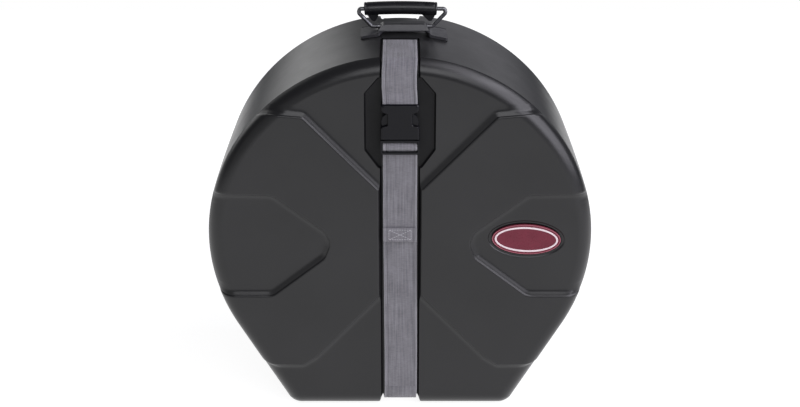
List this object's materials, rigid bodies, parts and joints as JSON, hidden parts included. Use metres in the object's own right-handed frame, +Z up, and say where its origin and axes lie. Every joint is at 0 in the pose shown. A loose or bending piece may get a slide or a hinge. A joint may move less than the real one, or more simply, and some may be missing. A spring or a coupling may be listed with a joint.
{
  "type": "drum case",
  "caption": "Moulded D-shaped drum case with a deep shell, slip-on lid, folding wire bail handle and one webbing strap that closes with a side-release buckle.",
  "frame": {"origin": "middle of the bounding box's bottom, on the surface the case stands on", "axes": "+Z up, the front with the buckle faces -Y, the lid is at +Y, +X to the right as seen from the front"},
  "size_m": [0.454, 0.216, 0.487],
  "materials": {
    "shell": "rotomoulded polyethylene, satin, charcoal grey",
    "black": "moulded acetal, semi-gloss black",
    "grip": "soft vinyl, satin black",
    "steel": "zinc-plated steel wire and sheet",
    "webbing": "woven polypropylene webbing, grey",
    "foam": "closed-cell foam, dark grey",
    "badge": "moulded badge, gloss dark red with a pale rim"
  },
  "bodies": {
    "case": {"base_shell": "shell", "handle_bracket": "black", "handle_backing_plate": "steel", "handle_screw_1": "steel", "handle_screw_2": "steel", "handle_screw_3": "steel", "handle_screw_4": "steel", "buckle_female": "black", "strap_upper_run": "webbing", "strap_bottom_run": "webbing", "strap_lower_run": "webbing", "emblem_plate": "badge", "base_foam_wall": "foam", "base_foam_pad": "foam"},
    "lid": {"lid_shell": "shell", "lid_foam_pad": "foam", "strap_rear_run": "webbing"},
    "handle": {"handle_bail": "steel", "handle_grip": "grip"},
    "buckle_half": {"buckle_male": "black", "strap_tail": "webbing"},
    "prong_left": {"buckle_prong_left": "black"},
    "prong_right": {"buckle_prong_right": "black"}
  },
  "joints": [
    {"name": "handle_swing", "type": "hinge", "parent": "case", "child": "handle", "pos_m": [0, 0.0142, 0.4565], "axis": [1, 0, 0], "range_deg": [0, 50]},
    {"name": "lid_slide", "type": "slide", "parent": "case", "child": "lid", "axis": [0, 1, 0], "range_m": [0, 0.26]},
    {"name": "buckle_release", "type": "slide", "parent": "case", "child": "buckle_half", "axis": [0, 0, -1], "range_m": [0, 0.04], "deforming": ["strap_lower_run", "buckle_prong_left", "buckle_prong_right"]},
    {"name": "prong_left_press", "type": "hinge", "parent": "buckle_half", "child": "prong_left", "pos_m": [-0.011, -0.1026, 0.3603], "axis": [0, 1, 0], "range_deg": [0, 6], "stiffness_Nm_per_rad": 0.2},
    {"name": "prong_right_press", "type": "hinge", "parent": "buckle_half", "child": "prong_right", "pos_m": [0.011, -0.1026, 0.3603], "axis": [0, -1, 0], "range_deg": [0, 6], "stiffness_Nm_per_rad": 0.2}
  ]
}
